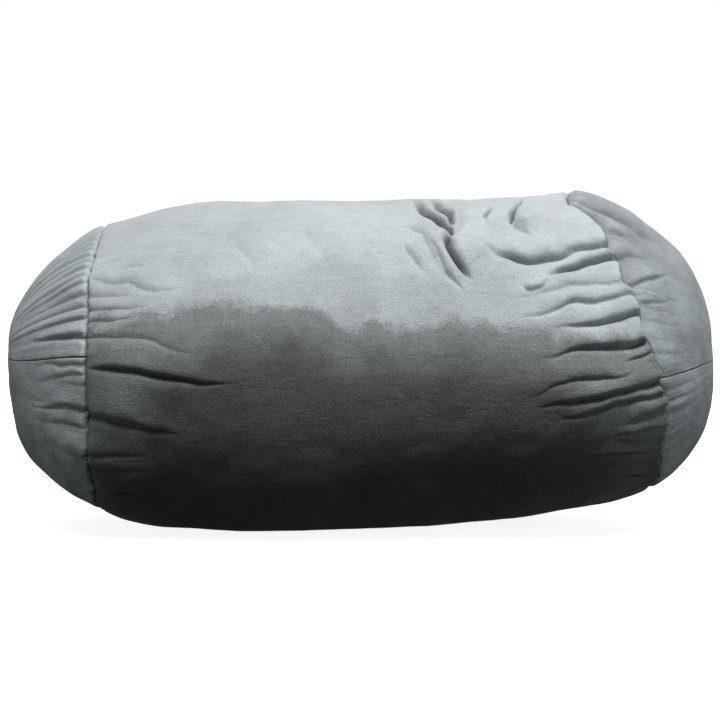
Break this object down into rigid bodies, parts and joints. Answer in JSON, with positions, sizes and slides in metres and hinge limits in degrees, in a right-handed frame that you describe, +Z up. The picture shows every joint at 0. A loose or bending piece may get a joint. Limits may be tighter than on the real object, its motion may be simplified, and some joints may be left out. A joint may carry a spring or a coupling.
{
  "type": "bean bag chair",
  "caption": "Large capsule-shaped plush bean bag lounger with gathered domed ends, a back zip, an inner liner and a shredded foam fill.",
  "frame": {"origin": "middle of the footprint, on the floor", "axes": "+X along the long axis, +Y towards the zipped back, +Z up"},
  "size_m": [1.83, 0.9225, 0.866],
  "materials": {
    "plush": "short soft pile, matte",
    "thread": "matte spun thread",
    "zip_tape": "woven tape",
    "zip_coil": "satin nylon",
    "zip_metal": "satin painted zinc",
    "liner_cloth": "plain woven polyester",
    "foam": "shredded foam crumbs",
    "label": "smooth satin ribbon"
  },
  "bodies": {
    "bag": {"back_seam_stitching": "thread", "care_label": "label", "cover_body_panel": "plush", "cover_left_end_lower_panel": "plush", "cover_left_end_upper_panel": "plush", "cover_right_end_lower_panel": "plush", "cover_right_end_upper_panel": "plush", "cover_zip_bottom_stop": "zip_metal", "cover_zip_lower_coil": "zip_coil", "cover_zip_lower_tape": "zip_tape", "cover_zip_top_stops": "zip_metal", "cover_zip_upper_coil": "zip_coil", "cover_zip_upper_tape": "zip_tape", "left_end_middle_stitching": "thread", "left_end_seam_stitching": "thread", "liner_body_panel": "liner_cloth", "liner_left_end_panel": "liner_cloth", "liner_right_end_panel": "liner_cloth", "liner_zip_bottom_stop": "zip_metal", "liner_zip_lower_coil": "zip_coil", "liner_zip_lower_tape": "zip_tape", "liner_zip_top_stops": "zip_metal", "liner_zip_upper_coil": "zip_coil", "liner_zip_upper_tape": "zip_tape", "right_end_middle_stitching": "thread", "right_end_seam_stitching": "thread", "shredded_foam_fill": "foam"},
    "cover_zip_slider": {"cover_zip_slider": "zip_metal"},
    "cover_zip_pull": {"cover_zip_pull": "zip_metal"},
    "liner_zip_slider": {"liner_zip_slider": "zip_metal"}
  },
  "joints": [
    {"name": "cover_zip_slide", "type": "slide", "parent": "bag", "child": "cover_zip_slider", "axis": [-1, 0, 0], "range_m": [0, 0.808]},
    {"name": "cover_zip_pull_swing", "type": "hinge", "parent": "cover_zip_slider", "child": "cover_zip_pull", "pos_m": [0.404, 0.46045, 0.406], "axis": [0, 0, -1], "range_deg": [0, 180]},
    {"name": "liner_zip_slide", "type": "slide", "parent": "bag", "child": "liner_zip_slider", "axis": [1, 0, 0], "range_m": [0, 0.588]}
  ]
}
